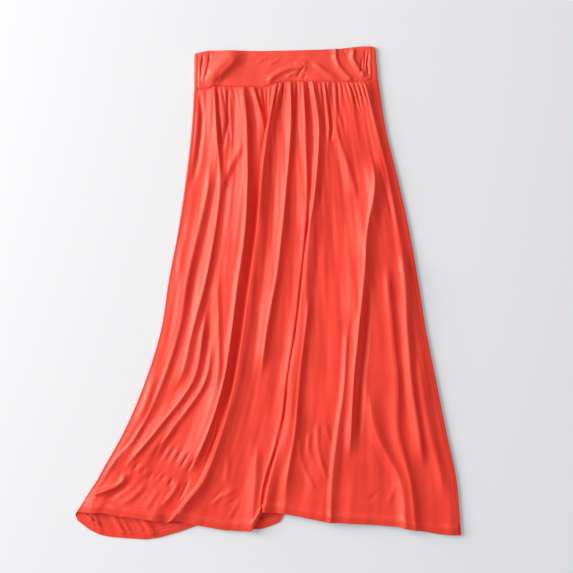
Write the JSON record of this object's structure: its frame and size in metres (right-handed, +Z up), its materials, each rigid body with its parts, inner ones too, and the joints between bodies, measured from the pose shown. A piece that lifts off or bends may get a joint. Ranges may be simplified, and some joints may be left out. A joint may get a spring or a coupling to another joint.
{
  "type": "maxi skirt",
  "caption": "Long flared jersey skirt with a wide elasticated waistband, gathered below the waist seam, with a turned-up hem, lying flat.",
  "frame": {"origin": "On the surface that the skirt lies on, below the middle of its outline", "axes": "+X to the right as seen from above, +Y from the hem to the waistband, +Z up through the cloth"},
  "size_m": [0.732, 0.936, 0.0152],
  "materials": {
    "jersey_front": "Fine viscose jersey in coral red, smooth with a soft sheen on the folds",
    "jersey_back": "The same coral jersey, seen on the back panel and inside the hem",
    "jersey_hem": "Wrong side of the coral jersey on the turned-up hem, a little duller",
    "jersey_band": "The same coral jersey, doubled over an elastic"
  },
  "bodies": {
    "root": {"skirt_front": "jersey_front", "skirt_back": "jersey_back", "front_hem_turnup": "jersey_hem", "back_hem_turnup": "jersey_hem", "waistband_front": "jersey_band", "waistband_back": "jersey_band"}
  },
  "joints": []
}
